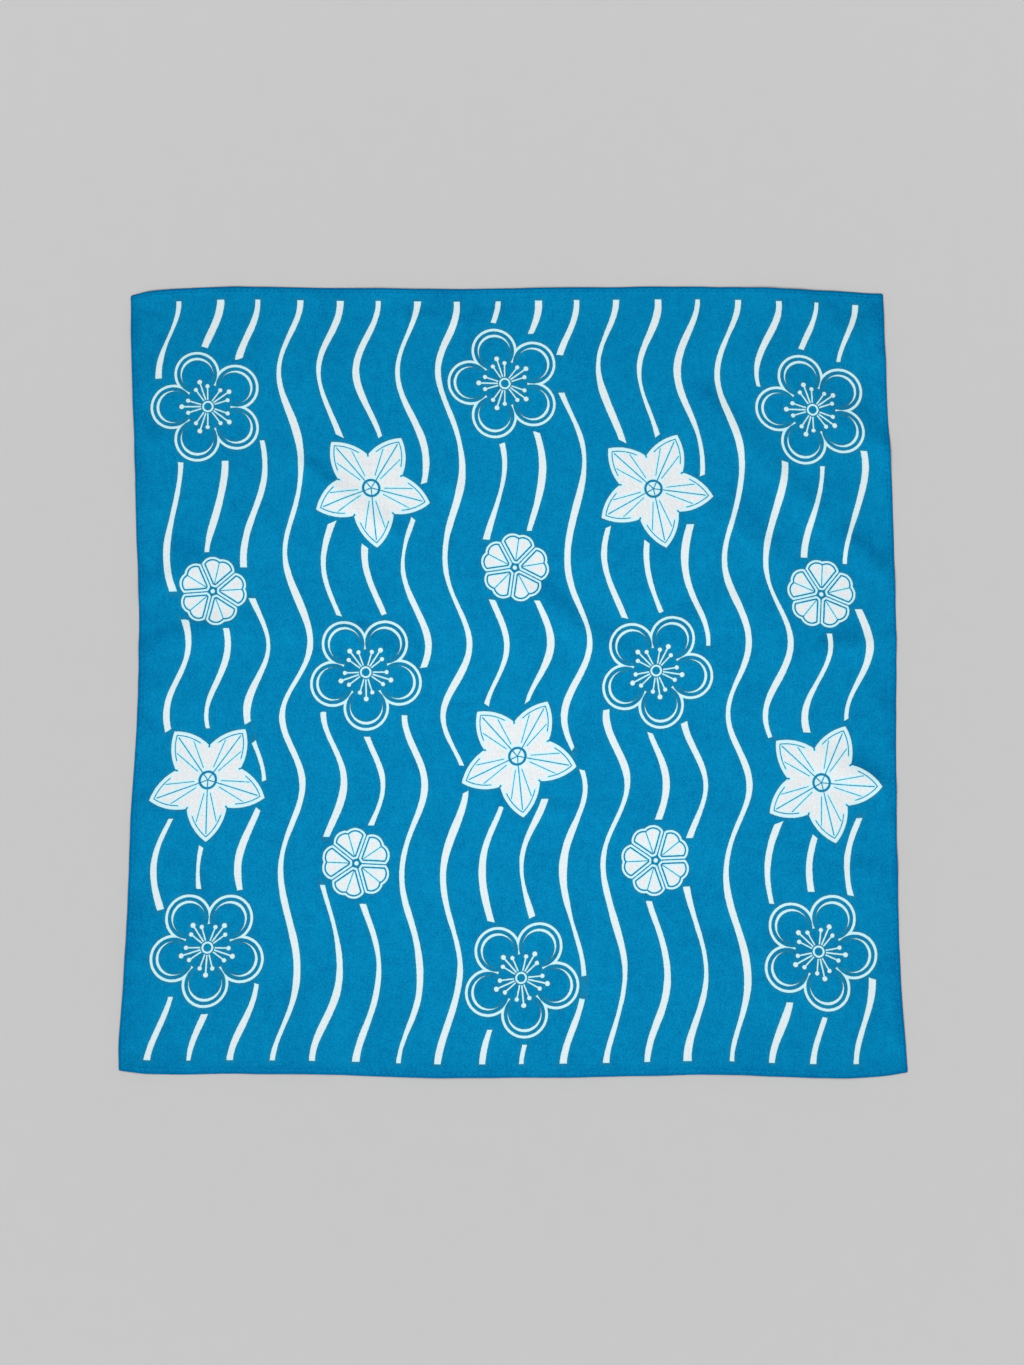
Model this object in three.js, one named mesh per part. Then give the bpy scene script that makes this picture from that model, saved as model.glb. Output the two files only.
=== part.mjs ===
// A square hemmed cotton bandana lying face up and almost flat on a surface.
// Millimetres, +Z up, +X to the right, +Y towards the far edge. The origin is
// under the middle of the cloth, on the surface that it lies on.
//
// The cloth is one sheet. Its plan is a four-sided patch between four bowed
// edges, because a washed and hemmed square never lies with straight sides,
// and low soft ridges run across it where the cloth hasn't settled. Between
// the ridges the underside is flat on the surface.
import * as THREE from "three";

// ---------------------------------------------------------------- sizes
const SHEET_THICKNESS = 1.2; // the cloth with its turned hem, as one thickness
const CELLS_ACROSS = 46; // cells of the sheet from left to right
const CELLS_ALONG = 46; // cells from the near edge to the far edge
const CURVE_STEPS = 24; // stretches that a ridge's crest line is measured in
const CLOTH_COLOUR = 0x0680b5;
const CLOTH_ROUGHNESS = 0.88;

// Corners of the cloth as it lies.
const CORNERS = {
  nearLeft: { x: -256.9, y: -263.6 },
  nearRight: { x: 261.2, y: -264.5 },
  farLeft: { x: -261.0, y: 261.9 },
  farRight: { x: 256.7, y: 263.3 },
};

// How each edge bows away from the straight line between its two corners.
// at: share of the edge's length, from the left or near corner
// out: distance outward, so a minus sign draws the edge in
const FAR_EDGE = [
  { at: 0.0, out: 0.0 },
  { at: 0.03, out: 3.7 },
  { at: 0.08, out: 5.6 },
  { at: 0.15, out: 6.3 },
  { at: 0.3, out: 5.1 },
  { at: 0.47, out: 4.5 },
  { at: 0.62, out: 5.5 },
  { at: 0.8, out: 5.3 },
  { at: 0.88, out: 3.6 },
  { at: 0.95, out: 1.7 },
  { at: 1.0, out: 0.0 },
];
const NEAR_EDGE = [
  { at: 0.0, out: 0.0 },
  { at: 0.04, out: 2.2 },
  { at: 0.16, out: 2.0 },
  { at: 0.28, out: 2.6 },
  { at: 0.41, out: 4.5 },
  { at: 0.6, out: 3.6 },
  { at: 0.75, out: 2.0 },
  { at: 0.85, out: 3.5 },
  { at: 0.92, out: 4.1 },
  { at: 0.97, out: 2.6 },
  { at: 1.0, out: 0.0 },
];
const LEFT_EDGE = [
  { at: 0.0, out: 0.0 },
  { at: 0.04, out: 0.4 },
  { at: 0.1, out: -1.8 },
  { at: 0.22, out: -4.2 },
  { at: 0.32, out: -5.4 },
  { at: 0.42, out: -8.0 },
  { at: 0.5, out: -9.1 },
  { at: 0.6, out: -8.7 },
  { at: 0.68, out: -6.4 },
  { at: 0.8, out: -4.1 },
  { at: 0.92, out: -1.2 },
  { at: 1.0, out: 0.0 },
];
const RIGHT_EDGE = [
  { at: 0.0, out: 0.0 },
  { at: 0.04, out: -0.9 },
  { at: 0.12, out: -2.6 },
  { at: 0.25, out: -2.4 },
  { at: 0.36, out: -1.5 },
  { at: 0.48, out: 0.6 },
  { at: 0.58, out: 1.9 },
  { at: 0.74, out: 1.9 },
  { at: 0.86, out: 0.6 },
  { at: 1.0, out: 0.0 },
];

// Soft ridges of cloth that stand off the surface. Each crest is a curve from
// a start, past a bend, to an end; fadeStart and fadeEnd are the shares of its
// length over which it dies away, none where it runs out over an edge.
const RIDGES = [
  { name: "left middle", x0: -264, y0: 8, x1: -214, y1: 30, x2: -150, y2: 38, halfWidth: 14, height: 1.7, fadeStart: 0, fadeEnd: 0.45 },
  { name: "left middle, inner", x0: -150, y0: 34, x1: -98, y1: 30, x2: -58, y2: 0, halfWidth: 13, height: 1.3, fadeStart: 0.4, fadeEnd: 0.35 },
  { name: "left slanted", x0: -266, y0: 48, x1: -240, y1: 60, x2: -196, y2: 80, halfWidth: 12, height: 1.5, fadeStart: 0, fadeEnd: 0.4 },
  { name: "left arch, outer", x0: -264, y0: 138, x1: -240, y1: 172, x2: -192, y2: 160, halfWidth: 15, height: 1, fadeStart: 0, fadeEnd: 0.5 },
  { name: "left arch, inner", x0: -172, y0: 158, x1: -128, y1: 134, x2: -52, y2: 76, halfWidth: 13, height: 1.6, fadeStart: 0.4, fadeEnd: 0.3 },
  { name: "left lower", x0: -264, y0: -2, x1: -208, y1: -32, x2: -118, y2: -8, halfWidth: 15, height: 1, fadeStart: 0, fadeEnd: 0.6 },
  { name: "middle slanted", x0: -8, y0: 74, x1: 40, y1: 30, x2: 110, y2: -10, halfWidth: 11, height: 1.3, fadeStart: 0.3, fadeEnd: 0.35 },
  { name: "middle upright", x0: -66, y0: -84, x1: -50, y1: -45, x2: -46, y2: -6, halfWidth: 13, height: 0.8, fadeStart: 0.4, fadeEnd: 0.4 },
  { name: "right of middle", x0: 88, y0: 8, x1: 126, y1: 38, x2: 170, y2: 52, halfWidth: 17, height: 1.8, fadeStart: 0.35, fadeEnd: 0.4 },
  { name: "far right, long", x0: 112, y0: 218, x1: 172, y1: 138, x2: 266, y2: 58, halfWidth: 15, height: 1.8, fadeStart: 0.4, fadeEnd: 0 },
  { name: "far right, short", x0: 120, y0: 130, x1: 150, y1: 98, x2: 198, y2: 66, halfWidth: 12, height: 1.3, fadeStart: 0.35, fadeEnd: 0.35 },
  { name: "far right, second", x0: 160, y0: 214, x1: 216, y1: 192, x2: 266, y2: 146, halfWidth: 14, height: 1.2, fadeStart: 0.45, fadeEnd: 0 },
  { name: "far right corner", x0: 190, y0: 264, x1: 226, y1: 244, x2: 262, y2: 212, halfWidth: 14, height: 0.9, fadeStart: 0.2, fadeEnd: 0 },
  { name: "right middle", x0: 186, y0: 6, x1: 224, y1: 18, x2: 266, y2: 20, halfWidth: 14, height: 1.6, fadeStart: 0.4, fadeEnd: 0 },
  { name: "right lower", x0: 186, y0: -44, x1: 222, y1: -66, x2: 266, y2: -84, halfWidth: 14, height: 1.6, fadeStart: 0.4, fadeEnd: 0 },
  { name: "near right", x0: 186, y0: -148, x1: 222, y1: -134, x2: 266, y2: -126, halfWidth: 13, height: 1.1, fadeStart: 0.45, fadeEnd: 0 },
  { name: "near right, low", x0: 104, y0: -184, x1: 146, y1: -186, x2: 184, y2: -190, halfWidth: 13, height: 1, fadeStart: 0.4, fadeEnd: 0.4 },
  { name: "far middle", x0: -98, y0: 250, x1: -58, y1: 241, x2: 28, y2: 252, halfWidth: 12, height: 0.9, fadeStart: 0.3, fadeEnd: 0.4 },
];

// ---------------------------------------------------------------- helpers
// Smooth curve through a table's rows, with the slopes of a Catmull-Rom spline.
function outAt(rows, share) {
  let i = 0;
  while (i < rows.length - 2 && share > rows[i + 1].at) i += 1;
  const slope = (k) => {
    const a = rows[Math.max(k - 1, 0)];
    const b = rows[Math.min(k + 1, rows.length - 1)];
    return (b.out - a.out) / (b.at - a.at);
  };
  const span = rows[i + 1].at - rows[i].at;
  const t = (share - rows[i].at) / span;
  const t2 = t * t;
  const t3 = t2 * t;
  return (
    (2 * t3 - 3 * t2 + 1) * rows[i].out +
    (t3 - 2 * t2 + t) * span * slope(i) +
    (3 * t2 - 2 * t3) * rows[i + 1].out +
    (t3 - t2) * span * slope(i + 1)
  );
}

// A point of a bowed edge: the straight line from corner a to corner b, moved
// outward along its normal. side is +1 where outward is to the line's left.
function edgePoint(a, b, rows, side, share) {
  const dx = b.x - a.x;
  const dy = b.y - a.y;
  const length = Math.hypot(dx, dy);
  const out = outAt(rows, share) * side;
  return {
    x: a.x + dx * share - (dy / length) * out,
    y: a.y + dy * share + (dx / length) * out,
  };
}

// Plan position of the point that lies u of the way across the cloth and v of
// the way along it: the patch between the four bowed edges.
function planPoint(u, v) {
  const { nearLeft, nearRight, farLeft, farRight } = CORNERS;
  const near = edgePoint(nearLeft, nearRight, NEAR_EDGE, -1, u);
  const far = edgePoint(farLeft, farRight, FAR_EDGE, 1, u);
  const left = edgePoint(nearLeft, farLeft, LEFT_EDGE, 1, v);
  const right = edgePoint(nearRight, farRight, RIGHT_EDGE, -1, v);
  const mix = (axis) =>
    (1 - v) * near[axis] +
    v * far[axis] +
    (1 - u) * left[axis] +
    u * right[axis] -
    (1 - u) * (1 - v) * nearLeft[axis] -
    u * (1 - v) * nearRight[axis] -
    (1 - u) * v * farLeft[axis] -
    u * v * farRight[axis];
  return { x: mix("x"), y: mix("y") };
}

const smooth = (t) => {
  const s = Math.min(Math.max(t, 0), 1);
  return s * s * (3 - 2 * s);
};

// Height of one ridge over a point: a rounded hump across its crest line.
function ridgeHeight(ridge, x, y) {
  let nearest = Infinity;
  let share = 0;
  for (let i = 0; i < CURVE_STEPS; i += 1) {
    const point = (t) => ({
      x: (1 - t) * (1 - t) * ridge.x0 + 2 * t * (1 - t) * ridge.x1 + t * t * ridge.x2,
      y: (1 - t) * (1 - t) * ridge.y0 + 2 * t * (1 - t) * ridge.y1 + t * t * ridge.y2,
    });
    const a = point(i / CURVE_STEPS);
    const b = point((i + 1) / CURVE_STEPS);
    const dx = b.x - a.x;
    const dy = b.y - a.y;
    const along = Math.min(Math.max(((x - a.x) * dx + (y - a.y) * dy) / (dx * dx + dy * dy), 0), 1);
    const distance = Math.hypot(x - a.x - along * dx, y - a.y - along * dy);
    if (distance < nearest) {
      nearest = distance;
      share = (i + along) / CURVE_STEPS;
    }
  }
  if (nearest >= ridge.halfWidth) return 0;
  const rise = ridge.fadeStart > 0 ? smooth(share / ridge.fadeStart) : 1;
  const fall = ridge.fadeEnd > 0 ? smooth((1 - share) / ridge.fadeEnd) : 1;
  const across = Math.cos((Math.PI / 2) * (nearest / ridge.halfWidth));
  return ridge.height * across * across * rise * fall;
}

const surfaceHeight = (x, y) => RIDGES.reduce((sum, ridge) => sum + ridgeHeight(ridge, x, y), 0);

// ---------------------------------------------------------------- the sheet
// Top and underside are the same grid, one thickness apart, joined by a rim
// round all four edges into one closed body.
function sheetGeometry() {
  const across = CELLS_ACROSS;
  const along = CELLS_ALONG;
  const row = across + 1;
  const layer = row * (along + 1);
  const positions = [];
  for (const offset of [0, SHEET_THICKNESS]) {
    for (let j = 0; j <= along; j += 1) {
      for (let i = 0; i <= across; i += 1) {
        const { x, y } = planPoint(i / across, j / along);
        positions.push(x, y, surfaceHeight(x, y) + offset);
      }
    }
  }
  const indices = [];
  const under = (i, j) => j * row + i;
  const top = (i, j) => layer + j * row + i;
  for (let j = 0; j < along; j += 1) {
    for (let i = 0; i < across; i += 1) {
      indices.push(top(i, j), top(i + 1, j), top(i + 1, j + 1));
      indices.push(top(i, j), top(i + 1, j + 1), top(i, j + 1));
      indices.push(under(i, j), under(i + 1, j + 1), under(i + 1, j));
      indices.push(under(i, j), under(i, j + 1), under(i + 1, j + 1));
    }
  }
  const rim = [];
  for (let i = 0; i < across; i += 1) rim.push([i, 0]);
  for (let j = 0; j < along; j += 1) rim.push([across, j]);
  for (let i = across; i > 0; i -= 1) rim.push([i, along]);
  for (let j = along; j > 0; j -= 1) rim.push([0, j]);
  rim.forEach(([i, j], k) => {
    const [i2, j2] = rim[(k + 1) % rim.length];
    indices.push(under(i, j), under(i2, j2), top(i2, j2));
    indices.push(under(i, j), top(i2, j2), top(i, j));
  });
  const geometry = new THREE.BufferGeometry();
  geometry.setAttribute("position", new THREE.Float32BufferAttribute(positions, 3));
  geometry.setIndex(indices);
  geometry.computeVertexNormals();
  return geometry;
}

const cloth = new THREE.Mesh(
  sheetGeometry(),
  new THREE.MeshStandardMaterial({ color: CLOTH_COLOUR, roughness: CLOTH_ROUGHNESS, metalness: 0 }),
);
cloth.name = "cloth";

const bandana = new THREE.Group();
bandana.add(cloth);

// The bowed edges aren't even, so the cloth is centred by its own box.
const box = new THREE.Box3().setFromObject(bandana);
cloth.position.set(-(box.min.x + box.max.x) / 2, -(box.min.y + box.max.y) / 2, -box.min.z);

export default bandana;
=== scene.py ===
"""A square hemmed cotton bandana, laid out face up on a pale surface.

Sizes in the tables are millimetres and become metres in mm(). The plan, its bowed edges and the low ridges are the CAD
solid's own. The cloth itself is one closed thin sheet with a double-turned hem, and the hem's seam is its own piece.
"""

import math

import bpy
import numpy as np
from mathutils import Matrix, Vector


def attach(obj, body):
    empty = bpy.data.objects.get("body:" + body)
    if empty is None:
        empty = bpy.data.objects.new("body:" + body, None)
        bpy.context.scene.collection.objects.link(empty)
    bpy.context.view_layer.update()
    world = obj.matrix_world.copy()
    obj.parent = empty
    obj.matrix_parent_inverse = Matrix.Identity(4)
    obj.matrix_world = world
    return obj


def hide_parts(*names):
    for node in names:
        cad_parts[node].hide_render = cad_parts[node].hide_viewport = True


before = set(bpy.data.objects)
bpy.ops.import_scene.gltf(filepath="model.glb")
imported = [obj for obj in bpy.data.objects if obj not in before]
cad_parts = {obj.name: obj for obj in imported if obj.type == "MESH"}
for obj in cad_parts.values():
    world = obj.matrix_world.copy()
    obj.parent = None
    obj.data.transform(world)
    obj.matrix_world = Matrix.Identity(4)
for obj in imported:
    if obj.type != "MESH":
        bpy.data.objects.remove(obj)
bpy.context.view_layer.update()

# ---------------------------------------------------------------- sizes (mm)
FLAT_WIDTH, FLAT_LENGTH = 518.0, 531.0  # hemmed size, measured flat
HEM_ALLOWANCE = 6.5  # turned in on every side
CLOTH = 0.34  # one layer of cloth
HEM_WIDTH = 3.8
HEM_THICK = 1.02  # three layers
CORNER_EXTRA = 0.42  # the crossed hems at a corner stand this much higher
SEAM_IN = 2.65  # seam to edge
SEAM_RUN_X, SEAM_RUN_Y = FLAT_WIDTH - 2 * SEAM_IN, FLAT_LENGTH - 2 * SEAM_IN
STITCHES = {"near": 136, "far": 133, "left": 134, "right": 131}
STITCH_GAP = 0.6
THREAD = 0.30

# ---------------------------------------------------------------- plan, as in the CAD
CORNERS = {
    "near_left": (-256.9, -263.6),
    "near_right": (261.2, -264.5),
    "far_left": (-261.0, 261.9),
    "far_right": (256.7, 263.3),
}
# share of the edge's length, distance outward
FAR_EDGE = [(0, 0), (0.03, 3.7), (0.08, 5.6), (0.15, 6.3), (0.3, 5.1), (0.47, 4.5), (0.62, 5.5), (0.8, 5.3), (0.88, 3.6), (0.95, 1.7), (1, 0)]
NEAR_EDGE = [(0, 0), (0.04, 2.2), (0.16, 2.0), (0.28, 2.6), (0.41, 4.5), (0.6, 3.6), (0.75, 2.0), (0.85, 3.5), (0.92, 4.1), (0.97, 2.6), (1, 0)]
LEFT_EDGE = [(0, 0), (0.04, 0.4), (0.1, -1.8), (0.22, -4.2), (0.32, -5.4), (0.42, -8.0), (0.5, -9.1), (0.6, -8.7), (0.68, -6.4), (0.8, -4.1), (0.92, -1.2), (1, 0)]
RIGHT_EDGE = [(0, 0), (0.04, -0.9), (0.12, -2.6), (0.25, -2.4), (0.36, -1.5), (0.48, 0.6), (0.58, 1.9), (0.74, 1.9), (0.86, 0.6), (1, 0)]

# Ridges: start, bend, end of the crest, half width, height, shares over which it fades in and out.
RIDGES = [
    # x0, y0, x1, y1, x2, y2, half width, height, fade in, fade out
    (-264, 8, -214, 30, -150, 38, 14, 1.7, 0, 0.45),
    (-150, 34, -98, 30, -58, 0, 13, 1.3, 0.4, 0.35),
    (-266, 48, -240, 60, -196, 80, 12, 1.5, 0, 0.4),
    (-264, 138, -240, 172, -192, 160, 15, 1.0, 0, 0.5),
    (-172, 158, -128, 134, -52, 76, 13, 1.6, 0.4, 0.3),
    (-264, -2, -208, -32, -118, -8, 15, 1.0, 0, 0.6),
    (-8, 74, 40, 30, 110, -10, 11, 1.3, 0.3, 0.35),
    (-66, -84, -50, -45, -46, -6, 13, 0.8, 0.4, 0.4),
    (88, 8, 126, 38, 170, 52, 17, 1.8, 0.35, 0.4),
    (112, 218, 172, 138, 266, 58, 15, 1.8, 0.4, 0),
    (120, 130, 150, 98, 198, 66, 12, 1.3, 0.35, 0.35),
    (160, 214, 216, 192, 266, 146, 14, 1.2, 0.45, 0),
    (190, 264, 226, 244, 262, 212, 14, 0.9, 0.2, 0),
    (186, 6, 224, 18, 266, 20, 14, 1.6, 0.4, 0),
    (186, -44, 222, -66, 266, -84, 14, 1.6, 0.4, 0),
    (186, -148, 222, -134, 266, -126, 13, 1.1, 0.45, 0),
    (104, -184, 146, -186, 184, -190, 13, 1.0, 0.4, 0.4),
    (-98, 250, -58, 241, 28, 252, 12, 0.9, 0.3, 0.4),
]

# Finer creases that the solid leaves out, in the same columns.
CREASES = [
    (-258, 20, -222, 30, -186, 40, 7, 0.44, 0.1, 0.4),
    (-120, 32, -104, 30, -84, 16, 6, 0.44, 0.3, 0.4),
    (-262, 54, -246, 72, -232, 84, 6, 0.48, 0.0, 0.5),
    (-262, 118, -252, 130, -236, 136, 8, 0.48, 0.0, 0.5),
    (-264, 168, -250, 172, -236, 184, 8, 0.44, 0.0, 0.5),
    (-148, 150, -134, 134, -112, 124, 6, 0.44, 0.3, 0.3),
    (-100, 112, -86, 98, -66, 88, 6, 0.48, 0.3, 0.4),
    (-54, 140, -34, 124, -8, 104, 8, 0.68, 0.4, 0.4),
    (-122, 62, -108, 56, -92, 50, 8, 0.60, 0.4, 0.4),
    (-66, 66, -52, 56, -34, 54, 7, 0.32, 0.4, 0.4),
    (-232, 217, -210, 215, -182, 216, 8, 0.36, 0.4, 0.4),
    (-176, 246, -152, 240, -130, 244, 8, 0.40, 0.4, 0.4),
    (-256, 236, -240, 244, -226, 256, 9, 0.48, 0.0, 0.5),
    (2, 66, 26, 48, 52, 28, 5, 0.40, 0.3, 0.3),
    (62, 26, 82, 12, 108, 4, 9, 0.44, 0.3, 0.4),
    (122, 36, 138, 46, 154, 58, 8, 0.60, 0.4, 0.4),
    (128, 200, 142, 186, 160, 160, 9, 0.40, 0.4, 0.4),
    (200, 106, 226, 82, 256, 62, 8, 0.60, 0.3, 0.1),
    (208, 136, 220, 122, 236, 116, 8, 0.48, 0.4, 0.4),
    (232, 168, 246, 160, 264, 152, 9, 0.44, 0.4, 0.0),
    (204, 236, 224, 222, 246, 196, 8, 0.32, 0.4, 0.3),
    (198, 14, 226, 16, 262, 26, 7, 0.44, 0.4, 0.0),
    (234, 34, 246, 30, 262, 36, 7, 0.48, 0.4, 0.0),
    (208, -60, 232, -72, 262, -78, 7, 0.40, 0.4, 0.0),
    (232, -4, 244, -20, 262, -30, 9, 0.48, 0.4, 0.0),
    (208, -138, 228, -132, 256, -130, 7, 0.36, 0.4, 0.2),
    (122, -180, 146, -182, 168, -188, 7, 0.32, 0.4, 0.4),
    (188, -224, 216, -221, 246, -218, 10, 0.68, 0.4, 0.4),
    (214, -190, 226, -214, 228, -240, 10, 0.28, 0.4, 0.3),
    (-2, -92, 30, -94, 66, -95, 8, 0.44, 0.4, 0.4),
    (-52, -28, -28, -27, -2, -15, 6, 0.44, 0.3, 0.4),
    (60, -60, 74, -66, 96, -64, 9, 0.28, 0.4, 0.4),
    (20, -34, 26, -56, 22, -78, 10, 0.32, 0.4, 0.4),
    (-30, -120, -12, -146, 12, -164, 12, 0.32, 0.4, 0.4),
    (134, -76, 166, -80, 204, -76, 12, 0.34, 0.4, 0.4),
    (-256, -16, -248, -34, -232, -48, 8, 0.48, 0.1, 0.5),
    (-256, -78, -246, -84, -234, -98, 8, 0.32, 0.1, 0.5),
    (-236, -110, -214, -118, -188, -112, 12, 0.27, 0.4, 0.4),
    (-150, -30, -128, -44, -112, -66, 11, 0.27, 0.4, 0.4),
    (-228, -178, -210, -196, -184, -202, 12, 0.26, 0.4, 0.4),
    (-76, -60, -64, -66, -50, -64, 7, 0.48, 0.4, 0.4),
    (-70, -222, -44, -214, -16, -220, 12, 0.24, 0.4, 0.4),
    (70, -214, 96, -226, 120, -224, 12, 0.27, 0.4, 0.4),
    (-176, 214, -150, 226, -120, 224, 12, 0.24, 0.4, 0.4),
    (40, 214, 60, 196, 66, 170, 12, 0.26, 0.4, 0.4),
    (10, 130, 26, 114, 48, 108, 9, 0.32, 0.4, 0.4),
    (96, 128, 110, 110, 118, 88, 10, 0.27, 0.4, 0.4),
    (150, 84, 176, 76, 204, 60, 9, 0.28, 0.4, 0.4),
]

# Painted shade and painted light in the ground's colour along the ripples and creases, in the same columns: under 0 a
# painted shade, where the blue lies deeper, over 0 a painted light, where it is paler. They are only in the blue; the
# ink gets none.
PAINTED_SHADE_MARKS = [
    (-252, 20, -218, 32, -184, 41, 8, -0.19, 0.15, 0.3),
    (-254, 62, -242, 68, -228, 80, 9, -0.20, 0.2, 0.4),
    (-238, 90, -220, 86, -200, 80, 9, -0.12, 0.3, 0.4),
    (-254, 122, -244, 118, -230, 114, 7, -0.12, 0.2, 0.4),
    (-252, 186, -244, 172, -240, 156, 8, -0.12, 0.3, 0.3),
    (-140, 152, -130, 142, -116, 131, 6.5, -0.19, 0.3, 0.2),
    (-92, 114, -82, 104, -66, 94, 6, -0.18, 0.2, 0.3),
    (-106, 37, -98, 33, -86, 22, 6.5, -0.17, 0.3, 0.3),
    (-88, 22, -78, 15, -64, 6, 6, -0.16, 0.3, 0.4),
    (-44, 138, -30, 128, -12, 118, 8, -0.10, 0.4, 0.4),
    (-24, 92, -16, 86, -8, 76, 6, -0.08, 0.3, 0.3),
    (-84, 257, -64, 252, -46, 247, 7, -0.12, 0.3, 0.2),
    (-50, 248, -34, 245, -16, 246, 7, -0.16, 0.3, 0.3),
    (-172, 250, -150, 247, -116, 252, 7, -0.08, 0.3, 0.3),
    (-258, 252, -246, 246, -226, 250, 9, -0.10, 0.2, 0.4),
    (-208, 221, -190, 217, -166, 218, 6, -0.07, 0.4, 0.4),
    (-154, 150, -140, 138, -126, 124, 8, 0.12, 0.3, 0.3),
    (-236, 72, -224, 60, -210, 52, 9, 0.11, 0.3, 0.3),
    (-230, 22, -212, 16, -200, 6, 10, 0.11, 0.3, 0.3),
    (-56, 132, -42, 124, -30, 112, 8, 0.10, 0.3, 0.3),
    (-96, 100, -86, 92, -76, 84, 7, 0.08, 0.3, 0.3),
    (-66, 128, -58, 112, -54, 96, 7, 0.07, 0.3, 0.3),
    (124, 206, 138, 192, 158, 166, 9, -0.13, 0.3, 0.3),
    (140, 138, 160, 112, 190, 82, 8, -0.12, 0.3, 0.3),
    (214, 106, 236, 92, 258, 72, 7.5, -0.19, 0.25, 0.1),
    (236, 46, 246, 38, 260, 28, 8, -0.15, 0.3, 0.1),
    (230, 198, 244, 180, 258, 158, 9, -0.12, 0.3, 0.1),
    (246, 172, 254, 168, 262, 162, 6, -0.14, 0.3, 0),
    (212, 212, 228, 207, 246, 200, 7, -0.06, 0.4, 0.4),
    (112, 36, 126, 50, 146, 66, 11, -0.18, 0.3, 0.3),
    (118, 60, 130, 56, 144, 42, 9, -0.12, 0.3, 0.3),
    (10, 72, 30, 56, 56, 34, 6.5, -0.17, 0.25, 0.3),
    (56, 38, 72, 22, 92, 4, 11, -0.15, 0.3, 0.4),
    (200, 22, 222, 24, 246, 30, 9, -0.15, 0.3, 0.2),
    (204, 40, 220, 38, 232, 34, 6, -0.08, 0.3, 0.3),
    (246, 256, 254, 244, 258, 226, 8, -0.10, 0.2, 0.3),
    (172, 222, 180, 212, 190, 202, 8, -0.07, 0.3, 0.3),
    (150, 58, 156, 46, 160, 34, 8, 0.11, 0.3, 0.3),
    (130, 86, 142, 76, 154, 64, 8, 0.09, 0.3, 0.3),
    (194, 106, 208, 92, 222, 80, 8, 0.10, 0.3, 0.3),
    (222, 66, 232, 58, 244, 50, 7, 0.12, 0.3, 0.3),
    (28, 32, 42, 18, 56, 2, 9, 0.11, 0.3, 0.3),
    (210, 176, 220, 168, 234, 158, 8, 0.08, 0.3, 0.3),
    (160, 160, 172, 140, 188, 122, 11, 0.05, 0.3, 0.3),
    (-254, -24, -246, -32, -238, -42, 8, -0.15, 0.2, 0.4),
    (-48, -22, -30, -23, -6, -13, 5, -0.12, 0.3, 0.3),
    (-68, -58, -60, -64, -52, -72, 6.5, -0.15, 0.3, 0.3),
    (-36, -64, -26, -70, -16, -72, 6, -0.08, 0.3, 0.3),
    (-250, -78, -240, -86, -228, -98, 5, -0.09, 0.3, 0.3),
    (-156, -208, -140, -216, -126, -226, 12, -0.05, 0.3, 0.3),
    (-158, -78, -150, -88, -146, -100, 8, 0.08, 0.3, 0.3),
    (-134, -155, -128, -161, -122, -170, 5, 0.09, 0.3, 0.3),
    (206, -50, 228, -62, 256, -74, 11, -0.18, 0.3, 0.1),
    (216, -44, 232, -52, 244, -58, 8, -0.08, 0.3, 0.3),
    (254, -18, 258, -36, 260, -60, 7, -0.17, 0.3, 0.3),
    (198, -216, 214, -218, 230, -216, 7, -0.13, 0.3, 0.3),
    (216, -198, 228, -206, 244, -210, 10, -0.08, 0.3, 0.3),
    (228, -226, 240, -232, 254, -228, 9, -0.08, 0.3, 0.3),
    (128, -172, 142, -178, 158, -188, 9, -0.13, 0.3, 0.3),
    (226, -124, 238, -128, 250, -132, 7, -0.13, 0.3, 0.3),
    (14, -86, 36, -89, 62, -87, 5, -0.12, 0.3, 0.3),
    (80, -98, 90, -104, 102, -112, 7, -0.08, 0.3, 0.3),
    (100, -124, 106, -129, 114, -134, 6, -0.10, 0.3, 0.3),
    (258, -80, 260, -112, 260, -156, 6, -0.12, 0.3, 0.3),
    (146, -118, 162, -124, 176, -120, 8, -0.06, 0.3, 0.3),
    (100, -138, 110, -145, 124, -152, 7, 0.10, 0.3, 0.3),
    (206, -112, 218, -130, 222, -150, 10, 0.05, 0.3, 0.3),
    (190, -38, 197, -46, 206, -54, 8, 0.08, 0.3, 0.3),
]

# Stretches of an edge that don't quite touch: edge, middle as a share of its length, half length, height.
EDGE_LIFTS = [
    ("far", 0.035, 26, 0.7),
    ("far", 0.33, 44, 0.35),
    ("far", 0.56, 34, 0.5),
    ("far", 0.86, 30, 0.6),
    ("near", 0.03, 20, 0.8),
    ("near", 0.22, 38, 0.35),
    ("near", 0.42, 46, 0.55),
    ("near", 0.68, 32, 0.3),
    ("near", 0.9, 34, 0.7),
    ("left", 0.12, 40, 0.45),
    ("left", 0.3, 28, 0.35),
    ("left", 0.86, 36, 0.5),
    ("right", 0.07, 28, 0.6),
    ("right", 0.2, 30, 0.35),
    ("right", 0.8, 36, 0.45),
    ("right", 0.97, 22, 0.8),
]
LIFT_REACH = 26.0  # how far into the cloth such a stretch is felt


def mm(value):
    return value * 0.001


# ---------------------------------------------------------------- shape of the cloth
def bow(rows, share):
    """Distance outward along an edge, on a Catmull-Rom curve through its rows."""
    at = np.array([r[0] for r in rows], float)
    out = np.array([r[1] for r in rows], float)
    slope = np.empty_like(out)
    slope[1:-1] = (out[2:] - out[:-2]) / (at[2:] - at[:-2])
    slope[0] = (out[1] - out[0]) / (at[1] - at[0])
    slope[-1] = (out[-1] - out[-2]) / (at[-1] - at[-2])
    i = np.clip(np.searchsorted(at, share, side="right") - 1, 0, len(at) - 2)
    span = at[i + 1] - at[i]
    t = (share - at[i]) / span
    t2, t3 = t * t, t * t * t
    return (
        (2 * t3 - 3 * t2 + 1) * out[i]
        + (t3 - 2 * t2 + t) * span * slope[i]
        + (3 * t2 - 2 * t3) * out[i + 1]
        + (t3 - t2) * span * slope[i + 1]
    )


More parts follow.
